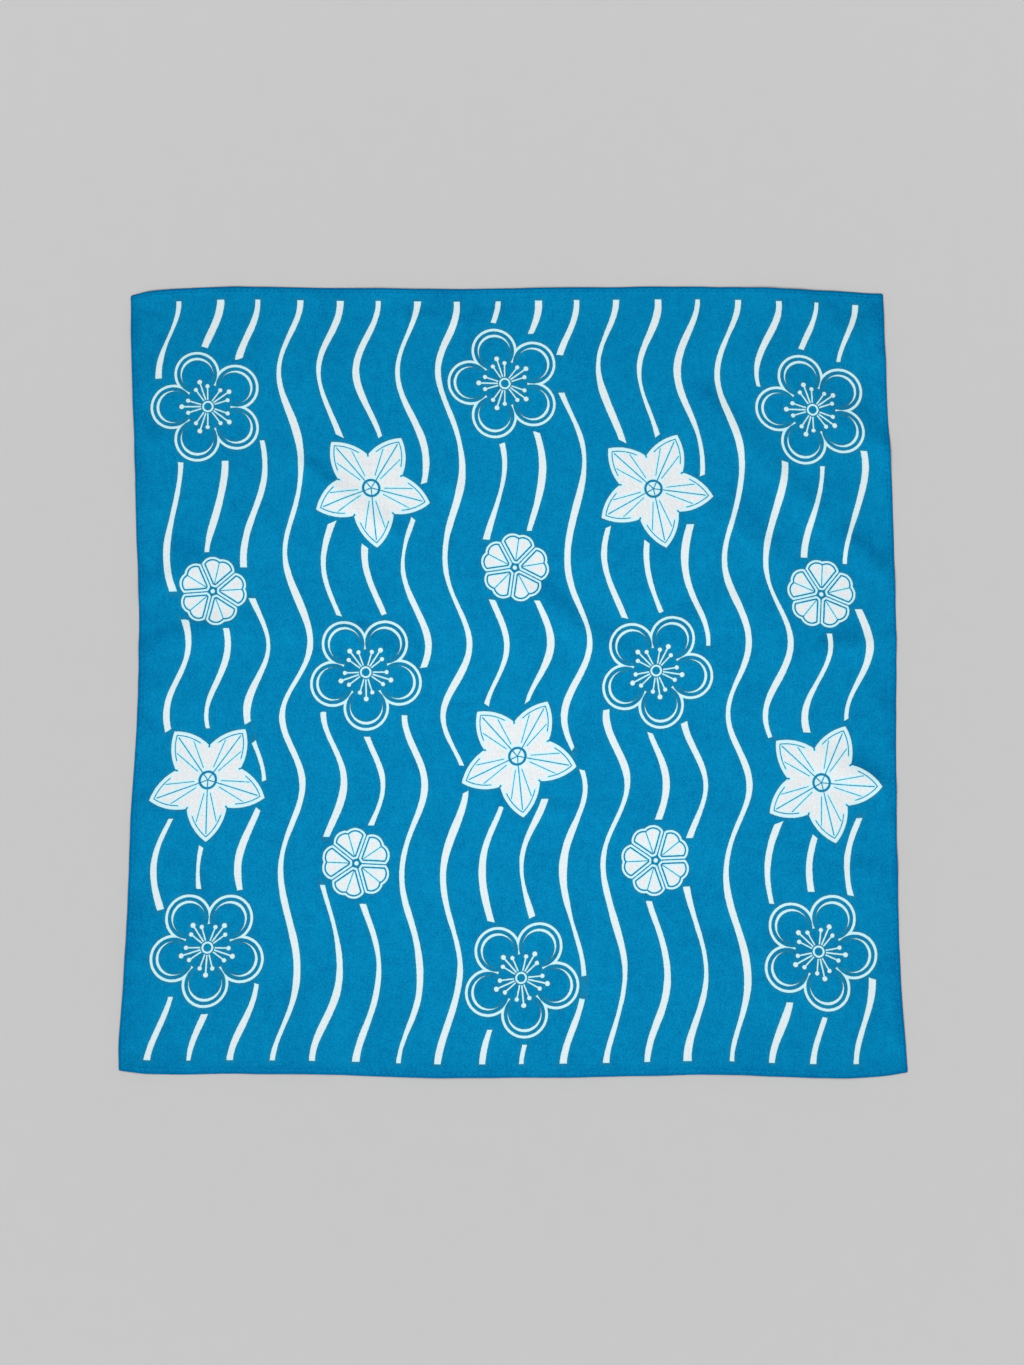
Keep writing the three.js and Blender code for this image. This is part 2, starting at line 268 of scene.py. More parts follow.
def edge_point(a, b, rows, side, share):
    a, b = np.array(CORNERS[a]), np.array(CORNERS[b])
    d = b - a
    n = np.array([-d[1], d[0]]) / np.hypot(*d)
    share = np.asarray(share, float)
    return a + d * share[..., None] + n * (bow(rows, share) * side)[..., None]


def raw_plan(u, v):
    """Plan position of flat shares u, v: the patch between the four bowed edges."""
    near = edge_point("near_left", "near_right", NEAR_EDGE, -1, u)
    far = edge_point("far_left", "far_right", FAR_EDGE, 1, u)
    left = edge_point("near_left", "far_left", LEFT_EDGE, 1, v)
    right = edge_point("near_right", "far_right", RIGHT_EDGE, -1, v)
    u, v = u[..., None], v[..., None]
    c = {k: np.array(p) for k, p in CORNERS.items()}
    return (
        (1 - v) * near + v * far + (1 - u) * left + u * right
        - (1 - u) * (1 - v) * c["near_left"] - u * (1 - v) * c["near_right"]
        - (1 - u) * v * c["far_left"] - u * v * c["far_right"]
    )


def middle_of_plan():
    s = np.linspace(0, 1, 47)
    u, v = np.meshgrid(s, s)
    p = raw_plan(u, v).reshape(-1, 2)
    return (p.min(0) + p.max(0)) / 2


MIDDLE = middle_of_plan()


def smooth(t):
    t = np.clip(t, 0, 1)
    return t * t * (3 - 2 * t)


def hump(row, x, y, steps=20):
    """Height of one ridge or crease over the points x, y of the plan."""
    x0, y0, x1, y1, x2, y2, half, high, fade_in, fade_out = row
    out = np.zeros_like(x)
    lo_x, hi_x = min(x0, x1, x2) - half, max(x0, x1, x2) + half
    lo_y, hi_y = min(y0, y1, y2) - half, max(y0, y1, y2) + half
    near = (x > lo_x) & (x < hi_x) & (y > lo_y) & (y < hi_y)
    if not near.any():
        return out
    px, py = x[near], y[near]
    best = np.full(px.shape, 1e9)
    share = np.zeros_like(px)
    t = np.linspace(0, 1, steps + 1)
    cx = (1 - t) ** 2 * x0 + 2 * t * (1 - t) * x1 + t * t * x2
    cy = (1 - t) ** 2 * y0 + 2 * t * (1 - t) * y1 + t * t * y2
    for i in range(steps):
        dx, dy = cx[i + 1] - cx[i], cy[i + 1] - cy[i]
        k = np.clip(((px - cx[i]) * dx + (py - cy[i]) * dy) / (dx * dx + dy * dy), 0, 1)
        d = np.hypot(px - cx[i] - k * dx, py - cy[i] - k * dy)
        closer = d < best
        best = np.where(closer, d, best)
        share = np.where(closer, (i + k) / steps, share)
    rise = smooth(share / fade_in) if fade_in else 1.0
    fall = smooth((1 - share) / fade_out) if fade_out else 1.0
    across = np.cos(np.pi / 2 * np.minimum(best / half, 1.0)) ** 2
    out[near] = high * across * rise * fall
    return out


class Drift:
    """Smooth seeded noise over the plan, from -1 to 1."""

    def __init__(self, seed, pitch):
        self.pitch = pitch
        self.grid = np.random.RandomState(seed).uniform(-1, 1, (96, 96))

    def __call__(self, x, y):
        gx, gy = x / self.pitch + 40.0, y / self.pitch + 40.0
        ix, iy = np.floor(gx).astype(int), np.floor(gy).astype(int)
        fx, fy = gx - ix, gy - iy
        total = 0.0
        wx, wy = self.weights(fx), self.weights(fy)
        for a in range(4):
            for b in range(4):
                total = total + wx[a] * wy[b] * self.grid[(iy + b - 1) % 96, (ix + a - 1) % 96]
        return total * 1.5

    @staticmethod
    def weights(f):
        """Cubic B-spline."""
        return (
            (1 - f) ** 3 / 6,
            (3 * f**3 - 6 * f**2 + 4) / 6,
            (-3 * f**3 + 3 * f**2 + 3 * f + 1) / 6,
            f**3 / 6,
        )


WIDE, MIDDLING, FINE = Drift(3, 34.0), Drift(11, 15.0), Drift(23, 7.0)
PUCKER, PUCKER_WIDE = Drift(31, 3.4), Drift(37, 11.0)
EDGE_MOTTLE = Drift(43, 8.5)
# painted shade: how much the blue deepens on slopes facing away from the key light, and pales on slopes facing it
SLOPE_PAINTED_SHADE = 0.10


def relief(x, y):
    """Height of the cloth's underside where no hem lifts it."""
    z = sum(hump(r, x, y) for r in RIDGES)
    z = z + sum(hump(r, x, y, 10) for r in CREASES)
    z = z + 0.55 * WIDE(x, y) + 0.36 * MIDDLING(x, y) + 0.15 * FINE(x, y) + 0.42
    return 0.5 * (z + np.sqrt(z * z + 0.03))  # never under the surface that it lies on


def painted_ripple_shade(x, y):
    """Painted light and shade in the blue along the ripples and creases: paler on slopes that face the key light,
    deeper on those that face away, plus the painted marks.
    """
    e = 0.6
    gx = (relief(x + e, y) - relief(x - e, y)) / (2 * e)
    gy = (relief(x, y + e) - relief(x, y - e)) / (2 * e)
    # slope towards the key light, which comes from the near left
    sides = np.clip(0.31 * gx + 0.95 * gy, -0.4, 0.4)
    uneven = 1.0 + 0.9 * MIDDLING(x + 60, y - 90)
    return SLOPE_PAINTED_SHADE * sides + uneven * sum(hump(r, x, y, 10) for r in PAINTED_SHADE_MARKS)


def from_edges(xf, yf):
    """Distances of flat points from the four edges, in mm."""
    return {
        "left": xf + FLAT_WIDTH / 2,
        "right": FLAT_WIDTH / 2 - xf,
        "near": yf + FLAT_LENGTH / 2,
        "far": FLAT_LENGTH / 2 - yf,
    }


def hem_rise(d):
    """How far the face stands over one layer of cloth, d from the folded edge."""
    full = HEM_THICK - CLOTH
    shoulder = -0.16 * (1 - smooth(d / 1.5))
    seam = -0.15 * np.exp(-(((d - SEAM_IN) / 0.5) ** 2))
    over_hem = d - (HEM_WIDTH - 0.5)
    return (full + shoulder + seam) * (0.6 * (1 - smooth(over_hem / 1.9)) + 0.4 * (1 - smooth(over_hem / 8.5)))


def round_off(d):
    r = HEM_THICK / 2
    return np.sqrt(np.clip(1 - (1 - np.clip(d / r, 0, 1)) ** 2, 0, 1))


def cloth_points(xf, yf):
    """Face and underside of the cloth at flat points, as two arrays of x, y, z in mm."""
    u, v = xf / FLAT_WIDTH + 0.5, yf / FLAT_LENGTH + 0.5
    plan = raw_plan(u, v)
    x, y = plan[..., 0], plan[..., 1]
    base = relief(x, y)
    d = from_edges(xf, yf)

    # stretches of hem that don't quite touch the surface
    for edge, at, half, high in EDGE_LIFTS:
        along = (v if edge in ("left", "right") else u) - at
        long = FLAT_LENGTH if edge in ("left", "right") else FLAT_WIDTH
        base = base + high * np.cos(np.pi / 2 * np.clip(along * long / half, -1, 1)) ** 2 * (1 - smooth(d[edge] / LIFT_REACH))

    # the hem, its seam's small puckers, and the crossed hems at the corners
    rise_x = np.maximum(hem_rise(d["left"]), hem_rise(d["right"]))
    rise_y = np.maximum(hem_rise(d["near"]), hem_rise(d["far"]))
    full = HEM_THICK - CLOTH
    rise = np.maximum(rise_x, rise_y) + CORNER_EXTRA * np.clip(rise_x / full, 0, 1) ** 2 * np.clip(rise_y / full, 0, 1) ** 2
    near_edge = np.minimum(np.minimum(d["left"], d["right"]), np.minimum(d["near"], d["far"]))
    pucker = np.exp(-(((near_edge - 4.0) / 6.5) ** 2))
    base = base + pucker * (0.06 * (1 + PUCKER(x, y)) + 0.22 * (1 + PUCKER_WIDE(x, y)))
    top = base + CLOTH + rise
    in_hem = 1 - smooth((near_edge - HEM_WIDTH) / 0.22)
    under = base + rise * (1 - in_hem)

    q = round_off(d["left"]) * round_off(d["right"]) * round_off(d["near"]) * round_off(d["far"])
    middle = (top + under) / 2
    top, under = middle + (top - middle) * q, middle + (under - middle) * q

    # the turned corners are a little round, and the seam draws the edge in and out by a hair
    for ex, sx in (("left", 1), ("right", -1)):
        for ey, sy in (("near", 1), ("far", -1)):
            pull = 0.22 * np.exp(-(d[ex] ** 2 + d[ey] ** 2) / 0.5)
            x, y = x + sx * pull, y + sy * pull
    wobble = 0.22 * np.exp(-near_edge / 6.0)
    x = x + wobble * PUCKER_WIDE(y + 300, x)
    y = y + wobble * PUCKER_WIDE(x, y - 500)
    x, y = x - MIDDLE[0], y - MIDDLE[1]
    return np.stack([x, y, top], -1), np.stack([x, y, under], -1)


# ---------------------------------------------------------------- the cloth's mesh
def stations(length, cells):
    """Flat positions from edge to edge, close together over the hem."""
    hem = np.array([0, 0.1, 0.3, 0.6, 1.0, 1.5, 2.1, 2.4, 2.65, 2.9, 3.3, 3.8, 4.05, 4.5, 5.2, 6.4, 8.4, 10.9])
    inner = np.linspace(hem[-1], length - hem[-1], cells + 1)[1:-1]
    return np.concatenate([hem, inner, length - hem[::-1]]) - length / 2


def mesh_object(name, points, faces, smooth_faces=True):
    me = bpy.data.meshes.new(name)
    me.from_pydata([tuple(p) for p in points], [], [tuple(f) for f in faces])
    me.validate()
    if smooth_faces:
        me.polygons.foreach_set("use_smooth", [True] * len(me.polygons))
    ob = bpy.data.objects.new(name, me)
    bpy.context.scene.collection.objects.link(ob)
    return ob


def make_cloth():
    xs, ys = stations(FLAT_WIDTH, 176), stations(FLAT_LENGTH, 180)
    nx, ny = len(xs), len(ys)
    xf, yf = np.meshgrid(xs, ys)
    top, under = cloth_points(xf, yf)
    index_top = np.arange(nx * ny).reshape(ny, nx)
    rim = np.zeros((ny, nx), bool)
    rim[0], rim[-1], rim[:, 0], rim[:, -1] = True, True, True, True
    index_under = index_top.copy()
    index_under[~rim] = nx * ny + np.arange((~rim).sum())
    points = np.concatenate([top.reshape(-1, 3), under[~rim]]) * 0.001
    a, b, c, d = index_top[:-1, :-1], index_top[:-1, 1:], index_top[1:, 1:], index_top[1:, :-1]
    faces_top = np.stack([a, b, c, d], -1).reshape(-1, 4)
    a, b, c, d = index_under[:-1, :-1], index_under[:-1, 1:], index_under[1:, 1:], index_under[1:, :-1]
    faces_under = np.stack([a, d, c, b], -1).reshape(-1, 4)
    ob = mesh_object("cotton_square", points, np.concatenate([faces_top, faces_under]))
    me = ob.data

    # flat: where each corner of a face lies on the uncut cloth, in metres. OFBake: the face takes most of the map.
    loops = np.empty(len(me.loops), np.int64)
    me.loops.foreach_get("vertex_index", loops)
    flat_of = np.empty((len(points), 2))
    flat_of[: nx * ny] = np.stack([xf, yf], -1).reshape(-1, 2)
    flat_of[nx * ny:] = np.stack([xf, yf], -1)[~rim]
    flat = flat_of[loops]
    on_top = np.arange(len(loops)) < 4 * len(faces_top)
    share = flat / (FLAT_WIDTH, FLAT_LENGTH) + 0.5
    bake = np.where(
        on_top[:, None],
        share * (0.845, 0.984) + (0.008, 0.008),
        share * (0.127, 0.984) + (0.865, 0.008),
    )
    me.uv_layers.new(name="OFBake").data.foreach_set("uv", bake.ravel())
    me.uv_layers.new(name="flat").data.foreach_set("uv", (flat * 0.001).ravel())
    side = me.attributes.new("face_side", "FLOAT", "FACE")
    side.data.foreach_set("value", (np.arange(len(me.polygons)) < len(faces_top)).astype(float))
    plan = raw_plan(flat_of[:, 0] / FLAT_WIDTH + 0.5, flat_of[:, 1] / FLAT_LENGTH + 0.5)
    # painted light and shade of the ripples, kept on the mesh for the material
    shade_from_ripples = me.attributes.new("painted_ripple_shade", "FLOAT", "POINT")
    value = painted_ripple_shade(plan[:, 0], plan[:, 1])
    # near the edges the blue is also mottled at random, a little deeper on average
    d = from_edges(flat_of[:, 0], flat_of[:, 1])
    beside = np.exp(-((np.minimum(d["left"], d["right"]) / 17) ** 2)) + 0.45 * np.exp(-((np.minimum(d["near"], d["far"]) / 12) ** 2))
    value = value + 0.15 * beside * (EDGE_MOTTLE(plan[:, 0] * 0.8, plan[:, 1] * 1.15) - 0.15)
    shade_from_ripples.data.foreach_set("value", value)
    me.uv_layers.active = me.uv_layers["OFBake"]
    return ob


# ---------------------------------------------------------------- the hem's seam
def seam_line(edge):
    """Flat start, direction and length of the seam along one edge."""
    x, y = SEAM_RUN_X / 2, SEAM_RUN_Y / 2
    if edge == "near":
        return (-x, -y), (1, 0), SEAM_RUN_X
    if edge == "far":
        return (-x, y), (1, 0), SEAM_RUN_X
    if edge == "left":
        return (-x, -y), (0, 1), SEAM_RUN_Y
    return (x, -y), (0, 1), SEAM_RUN_Y


def make_stitches():
    rings = np.array([-1.0, -0.8, -0.35, 0.35, 0.8, 1.0])  # along a stitch, as shares of its half length
    girth = np.array([0.35, 0.85, 1.0, 1.0, 0.85, 0.35])
    sink = np.array([-0.9, -0.25, 0.28, 0.28, -0.25, -0.9])  # in thread radii, over the cloth
    sides = 7
    points, faces = [], []
    rng = np.random.RandomState(5)
    for edge in ("near", "right", "far", "left"):
        (sx, sy), (dx, dy), length = seam_line(edge)
        count = STITCHES[edge]
        pitch = length / count
        for layer in (1, 0):  # the face, then the bobbin side
            offset = 0.0 if layer else 0.5
            number = count - (0 if layer else 1)
            k = np.arange(number)
            mid = (k + 0.5 + offset) * pitch + rng.uniform(-0.07, 0.07, number)
            half = (pitch - STITCH_GAP) / 2 * rng.uniform(0.93, 1.04, number)
            side_step = rng.uniform(-0.05, 0.05, number) + 0.10 * np.sin(mid / 37.0 + sx)
            turn = rng.uniform(-0.035, 0.035, number) + 0.02
            along = mid[:, None] + half[:, None] * rings
            off = side_step[:, None] + turn[:, None] * half[:, None] * rings
            xf = sx + dx * along - dy * off
            yf = sy + dy * along + dx * off
            top, under = cloth_points(xf, yf)
            centre = top if layer else under
            way = np.gradient(centre, axis=1)
            way /= np.linalg.norm(way, axis=-1, keepdims=True)
            up = np.array([0.0, 0.0, 1.0 if layer else -1.0])
            across = np.cross(way, up)
            across /= np.linalg.norm(across, axis=-1, keepdims=True)
            lift = np.cross(across, way)
            centre = centre + lift * (sink * THREAD / 2)[None, :, None]
            angles = np.arange(sides) / sides * 2 * np.pi
            ring = (
                centre[:, :, None, :]
                + (across[:, :, None, :] * np.cos(angles)[None, None, :, None]
                   + lift[:, :, None, :] * 0.85 * np.sin(angles)[None, None, :, None])
                * (girth * THREAD / 2)[None, :, None, None]
            )
            for s in range(number):
                first = len(points)
                points.extend(ring[s].reshape(-1, 3))
                for r in range(len(rings) - 1):
                    for q in range(sides):
                        q2 = (q + 1) % sides
                        a, b = first + r * sides + q, first + r * sides + q2
                        face = (a, b, b + sides, a + sides)
                        faces.append(face if not layer else face)
                faces.append(tuple(first + q for q in reversed(range(sides))))
                faces.append(tuple(first + (len(rings) - 1) * sides + q for q in range(sides)))
    ob = mesh_object("hem_stitching", np.array(points) * 0.001, faces)
    import bmesh

    bm = bmesh.new()
    bm.from_mesh(ob.data)
    bmesh.ops.recalc_face_normals(bm, faces=bm.faces)
    bm.to_mesh(ob.data)
    bm.free()
    return ob


# ---------------------------------------------------------------- arithmetic in node trees
class Net:
    """Builds a material's nodes from ordinary arithmetic."""

    def __init__(self, name):
        self.material = bpy.data.materials.new(name)
        self.material.use_nodes = True
        self.tree = self.material.node_tree
        self.tree.nodes.clear()
        self.count = 0

    def node(self, kind, **settings):
        n = self.tree.nodes.new(kind)
        n.location = ((self.count % 40) * 170, -(self.count // 40) * 220)
        self.count += 1
        for key, value in settings.items():
            setattr(n, key, value)
        return n

    def put(self, socket, value):
        if isinstance(value, Num):
            value = value.socket
        if isinstance(value, bpy.types.NodeSocket):
            self.tree.links.new(value, socket)
        else:
            socket.default_value = value

    def math(self, operation, *values, clamp=False):
        n = self.node("ShaderNodeMath", operation=operation, use_clamp=clamp)
        for i, value in enumerate(values):
            self.put(n.inputs[i], value)
        return Num(self, n.outputs[0])

    def range(self, value, a, b, c=0.0, d=1.0, kind="SMOOTHSTEP"):
        n = self.node("ShaderNodeMapRange", interpolation_type=kind)
        for i, x in enumerate((value, a, b, c, d)):
            self.put(n.inputs[i], x)
        return Num(self, n.outputs[0])

    def vector(self, x=0.0, y=0.0, z=0.0):
        n = self.node("ShaderNodeCombineXYZ")
        for i, value in enumerate((x, y, z)):
            self.put(n.inputs[i], value)
        return n.outputs[0]

    def noise(self, x, y, detail=2.0, roughness=0.5):
        n = self.node("ShaderNodeTexNoise", noise_dimensions="2D")
        self.tree.links.new(self.vector(x, y), n.inputs["Vector"])
        n.inputs["Scale"].default_value = 1.0
        n.inputs["Detail"].default_value = detail
        n.inputs["Roughness"].default_value = roughness
        return Num(self, n.outputs[0])

    def mix(self, share, a, b, blend="MIX"):
        n = self.node("ShaderNodeMix", data_type="RGBA", blend_type=blend)
        self.put(n.inputs[0], share)
        for i, value in ((6, a), (7, b)):
            if isinstance(value, tuple):
                n.inputs[i].default_value = (*value, 1.0)
            else:
                self.put(n.inputs[i], value)
        return n.outputs[2]


class Num:
    """One number in a node tree."""

    def __init__(self, net, socket):
        self.net, self.socket = net, socket

    def __add__(self, o): return self.net.math("ADD", self, o)
    def __radd__(self, o): return self.net.math("ADD", o, self)
    def __sub__(self, o): return self.net.math("SUBTRACT", self, o)
    def __rsub__(self, o): return self.net.math("SUBTRACT", o, self)
    def __mul__(self, o): return self.net.math("MULTIPLY", self, o)
    def __rmul__(self, o): return self.net.math("MULTIPLY", o, self)
    def __truediv__(self, o): return self.net.math("DIVIDE", self, o)
    def __rtruediv__(self, o): return self.net.math("DIVIDE", o, self)
    def __neg__(self): return self.net.math("MULTIPLY", self, -1.0)
    def __abs__(self): return self.net.math("ABSOLUTE", self)
    def sin(self): return self.net.math("SINE", self)
    def cos(self): return self.net.math("COSINE", self)
    def sqrt(self): return self.net.math("SQRT", self)
    def round(self): return self.net.math("ROUND", self)
    def floor(self): return self.net.math("FLOOR", self)
    def least(self, o): return self.net.math("MINIMUM", self, o)
    def most(self, o): return self.net.math("MAXIMUM", self, o)
    def under(self, o): return self.net.math("LESS_THAN", self, o)
    def over(self, o): return self.net.math("GREATER_THAN", self, o)


def length_of(net, x, y):
    return (x * x + y * y).sqrt()


# ---------------------------------------------------------------- the print
# A plain half-drop repeat: three ordinary blossoms over parallel wavering stripes. Distances are mm on the flat cloth,
# and a minus distance is inside the ink.
PRINT_EDGE_X, PRINT_EDGE_Y = 250.5, 256.5  # the ink stops here
COLUMN_STEP, ROW_STEP = 101.0, 400.0
STRIPE_STEP, STRIPE_WAVE, STRIPE_SWING = 27.4, 112.0, 7.6
STRIPES_A_SIDE = 9
BLOSSOMS = {  # radius, height of its first row, clear cloth round it, share of its radius that is always clear
    "plum": (39.0, 199.0, 4.2, 0.90),
    "cherry": (25.0, 66.0, 4.0, 0.92),
    "bellflower": (41.0, -67.0, 4.4, 0.74),
}


def repeat(net, x, y, first_row):
    """Coordinates about the nearest blossom of a half-drop repeat, its turn, and 1 where its middle is on the cloth."""
    column = (x / COLUMN_STEP).round()
    odd = net.math("MODULO", abs(column), 2.0)
    shifted = y - odd * (ROW_STEP / 2) - first_row
    row = (shifted / ROW_STEP).round()
    middle = row * ROW_STEP + odd * (ROW_STEP / 2) + first_row
    seed = column * 2.39 + row * 1.7 + first_row * 0.05
    px = x - column * COLUMN_STEP - seed.sin() * 6.5
    py = shifted - row * ROW_STEP - (seed * 1.9).cos() * 9.0 + middle * 0.045
    there = abs(middle).under(228.0)
    turn = (seed * 2.7).sin() * 0.35
    return px, py, turn, there


def folded(net, px, py, turn, petals=5):
    """Folds the plane into half a petal: distance out along it, distance off its middle line, radius and angle."""
    radius = length_of(net, px, py)
    angle = net.math("ARCTAN2", py, px) + turn
    sector = 2 * math.pi / petals
    within = angle - (angle / sector).round() * sector
    return radius * within.cos(), abs(radius * within.sin()), radius, within


def circle(net, ax, ay, cx, cy, r):
    return length_of(net, ax - cx, ay - cy) - r


def spoke(net, radius, within, count_angle, offset, start, end, half_width):
    """Distance to a short line that leaves the middle, one in each folded part."""
    turned = within - offset
    folded_angle = turned - (turned / count_angle).round() * count_angle
    across = abs(radius * folded_angle.sin()) - half_width
    along = (radius - end).most(start - radius)
    return across.most(along)


def plum(net, x, y, r, first_row):
    px, py, turn, there = repeat(net, x, y, first_row)
    ax, ay, radius, within = folded(net, px, py, turn + math.pi / 10)
    petals = circle(net, ax, ay, 0.61 * r, 0.0, 0.375 * r)
    heart = radius - 0.42 * r
    outer = petals.least(heart)
    line = abs(outer) - 0.80
    crescent = circle(net, ax, ay, 0.615 * r, 0.0, 0.285 * r)
    crescent = crescent.most(-circle(net, ax, ay, 0.575 * r, 0.0, 0.283 * r))
    inner = crescent.most(0.50 * r - radius)
    core = abs(radius - 0.085 * r) - 0.55
    sector = 2 * math.pi / 5
    long_ones = spoke(net, radius, within, sector, 0.0, 0.125 * r, 0.43 * r, 0.42)
    short_ones = spoke(net, radius, within, sector, 0.30, 0.125 * r, 0.34 * r, 0.38)
    short_two = spoke(net, radius, within, sector, -0.30, 0.125 * r, 0.34 * r, 0.38)
    tip = circle(net, ax, ay, 0.46 * r, 0.0, 0.040 * r)
    tip_two = circle(net, ax, ay, 0.365 * r * math.cos(0.30), 0.365 * r * math.sin(0.30), 0.034 * r)
    ink = line.least(inner).least(core).least(long_ones).least(short_ones).least(short_two).least(tip).least(tip_two)
    return gated(net, ink, there), gated(net, outer - 0.8, there), gated(net, radius, there), px / radius.most(1.0)


def cherry(net, x, y, r, first_row):
    px, py, turn, there = repeat(net, x, y, first_row)
    ax, ay, radius, within = folded(net, px, py, turn - math.pi / 2)
    lobe = circle(net, ax, ay, 0.60 * r, 0.135 * r, 0.315 * r)
    base = circle(net, ax, ay, 0.36 * r, 0.0, 0.235 * r)
    petal = lobe.least(base)
    parting = 0.55 - abs(radius * (abs(within) - math.pi / 5).sin())
    shape = petal.most(parting)
    line = abs(shape + 0.55) - 0.62
    filled = (shape + 2.35).most(0.17 * r - radius)
    vein = 0.36 - ay
    filled = filled.most(vein)
    core = radius - 0.055 * r
    ink = line.least(filled).least(core)
    return gated(net, ink, there), gated(net, petal, there), gated(net, radius, there), px / radius.most(1.0)


def bellflower(net, x, y, r, first_row):
    px, py, turn, there = repeat(net, x, y, first_row)
    ax, ay, radius, within = folded(net, px, py, turn + math.pi / 2)
    # an arc from the notch between two petals to the petal's tip
    valley, curve = 0.56, 0.80
    vx, vy = valley * math.cos(math.pi / 5), valley * math.sin(math.pi / 5)
    mx, my = (vx + 1) / 2, vy / 2
    hx, hy = 1 - vx, -vy
    h = math.hypot(hx, hy) / 2
    back = math.sqrt(curve * curve - h * h)
    nx, ny = hy / (2 * h), -hx / (2 * h)
    if nx * mx + ny * my > 0:
        nx, ny = -nx, -ny
    cx, cy = mx + nx * back, my + ny * back
    petal = circle(net, ax, ay, cx * r, cy * r, curve * r)
    parting = 0.62 - abs(radius * (abs(within) - math.pi / 5).sin())
    parting = parting.least(radius - (valley - 0.03) * r)
    shape = petal.most(parting)
    rib = (0.42 - ay).least(0.88 * r - radius)
    side_rib = (0.34 - abs(radius * (abs(within) - 0.24).sin())).least(0.70 * r - radius)
    side_rib = side_rib.least(radius - 0.22 * r)
    shape = shape.most(rib).most(side_rib)
    ring = 0.9 - abs(radius - 0.135 * r)
    ink = shape.most(ring)
    rim_line = abs(petal + 2.6) - 0.40  # a fine line inside the edge
    ink = ink.most(-(rim_line).most(0.62 * r - radius))
    return gated(net, ink, there), gated(net, petal, there), gated(net, radius, there), px / radius.most(1.0)


def gated(net, distance, there):
    """Far away where the blossom's middle is off the cloth."""
    return distance + (1.0 - there) * 500.0


def stripes(net, x, y, jitter):
    """Wavering upright stripes, all in step, with a brush's thick and thin."""
    k = 2 * math.pi / STRIPE_WAVE
    phase = y * k + (y * (k * 0.37) + 0.6).sin() * 0.55
    swing = phase.sin() * STRIPE_SWING
    across = x - swing
    which = (across / STRIPE_STEP - 0.5).round()
    wander = net.noise(which * 7.31, y * 0.011, 1.0)
    local = across - (which + 0.5) * STRIPE_STEP - (wander - 0.5) * 7.5
    slope = phase.cos() * (STRIPE_SWING * k)
    square_on = local / (slope * slope + 1.0).sqrt()
    brush = net.noise(which * 3.17 + 4.0, y * 0.027 + 50.0)
    half = 1.85 + (phase + which * 2.3).sin() * 0.42 + (brush - 0.5) * 1.7
    beyond = abs(which + 0.5).over(float(STRIPES_A_SIDE)) * 500.0
    return abs(square_on) - half + jitter + beyond, local


def print_distance(net, x, y):
    ragged = net.noise(x * 0.55, y * 0.55) - 0.5
    jitter = ragged * 0.30
    ink, off_middle = stripes(net, x, y, jitter * 1.4)
    clear = None
    flowers = None
    for kind, make in (("plum", plum), ("cherry", cherry), ("bellflower", bellflower)):
        r, first_row, gap, always = BLOSSOMS[kind]
        flower, outline, radius, outward = make(net, x, y, r, first_row)
        # judged on the stripe's middle line, so that it ends squarely across and leaves no sliver
        kept = (gap - outline.least(radius - r * always) + off_middle * outward) * 1.5
        clear = kept if clear is None else clear.most(kept)
        flowers = flower if flowers is None else flowers.least(flower)
    ink = ink.most(clear).least(flowers + jitter)
    edge = (abs(x) - PRINT_EDGE_X).most(abs(y) - PRINT_EDGE_Y)
    return ink.most(edge + jitter * 0.6)


# ---------------------------------------------------------------- materials
GROUND_DEEP, GROUND = (0.0001, 0.141, 0.345), (0.0014, 0.308, 0.602)
BARE_FIBRE = (0.020, 0.430, 0.690)  # fibre ends that took little dye
INK_DULL, INK = (0.638, 0.688, 0.730), (0.942, 0.968, 0.978)
RIM_DULL, RIM = (0.650, 0.835, 0.965), (0.825, 0.955, 0.998)  # the ink near its edge, where the blue shows through
RIM_EDGE = (0.50, 0.915, 0.998)
INK_SPREAD = 0.08  # mm
BESIDE_INK = (1.0, 0.925, 0.81)  # what the ground beside the ink is multiplied by: drier, duller dye
BESIDE_INK_RED = (0.010, 0.0, 0.0)
BACK_DEEP, BACK_GROUND = (0.012, 0.205, 0.395), (0.048, 0.345, 0.585)
BACK_PALE = (0.46, 0.64, 0.745)
FOLD_EDGE_PAINTED_SHADE = 0.44  # painted shade along the folded edge: how much deeper the colour lies there
